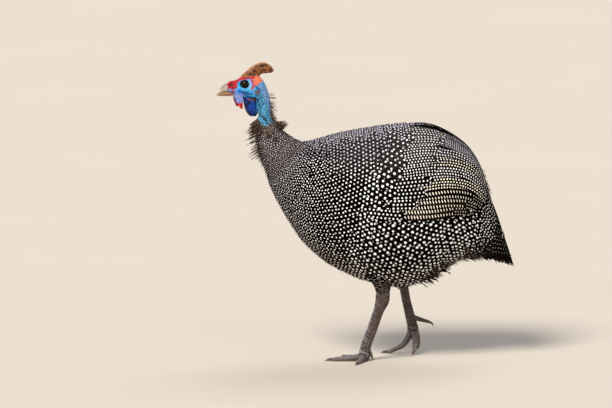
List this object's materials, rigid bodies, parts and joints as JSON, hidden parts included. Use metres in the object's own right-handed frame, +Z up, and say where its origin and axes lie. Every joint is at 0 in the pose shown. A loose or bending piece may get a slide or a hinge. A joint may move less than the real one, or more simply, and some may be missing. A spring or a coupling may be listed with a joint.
{
  "type": "standing guinea fowl",
  "caption": "Life-size helmeted guinea fowl walking, with spotted dark plumage, folded wings, horn casque, bare blue head, wattles and scaled legs.",
  "frame": {"origin": "on the floor, midway between the tip of the bill and the tip of the tail", "axes": "+Z up, the bird faces -X and its left side is towards -Y"},
  "size_m": [0.4468, 0.1832, 0.4468],
  "materials": {
    "plumage": "soft overlapping feathers, near black with fine white spots",
    "blue_skin": "bare wrinkled skin, blue with red patches",
    "throat_skin": "bare loose skin, deep blue",
    "wattle_skin": "bare soft skin, violet blue with a red tip",
    "casque_horn": "dull brown horn",
    "bill_horn": "satin grey-pink horn",
    "eye": "wet, very dark brown",
    "leg_scales": "scaled skin, dark grey-brown",
    "claw_horn": "satin dark horn"
  },
  "bodies": {
    "root": {"bill_lower": "bill_horn", "bill_upper": "bill_horn", "casque": "casque_horn", "claw_back_left": "claw_horn", "claw_back_right": "claw_horn", "claw_inner_left": "claw_horn", "claw_inner_right": "claw_horn", "claw_middle_left": "claw_horn", "claw_middle_right": "claw_horn", "claw_outer_left": "claw_horn", "claw_outer_right": "claw_horn", "eye_left": "eye", "eye_right": "eye", "head": "blue_skin", "neck_bare": "blue_skin", "neck_feathered": "plumage", "shank_left": "leg_scales", "shank_right": "leg_scales", "tail": "plumage", "thigh_left": "plumage", "thigh_right": "plumage", "throat_fold": "throat_skin", "toe_back_left": "leg_scales", "toe_back_right": "leg_scales", "toe_inner_left": "leg_scales", "toe_inner_right": "leg_scales", "toe_middle_left": "leg_scales", "toe_middle_right": "leg_scales", "toe_outer_left": "leg_scales", "toe_outer_right": "leg_scales", "torso": "plumage", "wattle_left": "wattle_skin", "wattle_right": "wattle_skin", "wing_left": "plumage", "wing_right": "plumage"}
  },
  "joints": []
}
